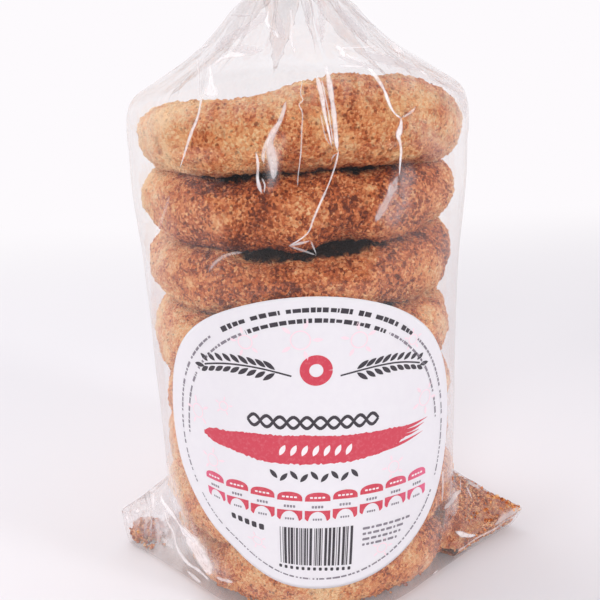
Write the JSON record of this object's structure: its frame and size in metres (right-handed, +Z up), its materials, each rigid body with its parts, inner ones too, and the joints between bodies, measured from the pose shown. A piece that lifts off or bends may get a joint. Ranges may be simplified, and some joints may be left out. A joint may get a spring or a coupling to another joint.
{
  "type": "bag of cinnamon ring breadsticks",
  "caption": "Tied clear bag holding a stack of cinnamon-coated ring breadsticks, with an oval paper label on its front.",
  "frame": {"origin": "centre of the bag's flat base, on the surface it stands on", "axes": "+Z up along the stack, -Y out of the label on the front, +X to the right of someone facing the label"},
  "size_m": [0.164, 0.116, 0.254],
  "materials": {
    "film": "clear crinkled film, gloss",
    "crust": null,
    "label_paper": "white coated paper, satin",
    "print_red": "red print on coated paper, satin",
    "print_dark": "near-black print on coated paper, satin",
    "tie_strip": "plastic-covered wire strip, satin"
  },
  "bodies": {
    "root": {"bag": "film", "label": "label_paper", "tie": "tie_strip"}
  },
  "joints": []
}
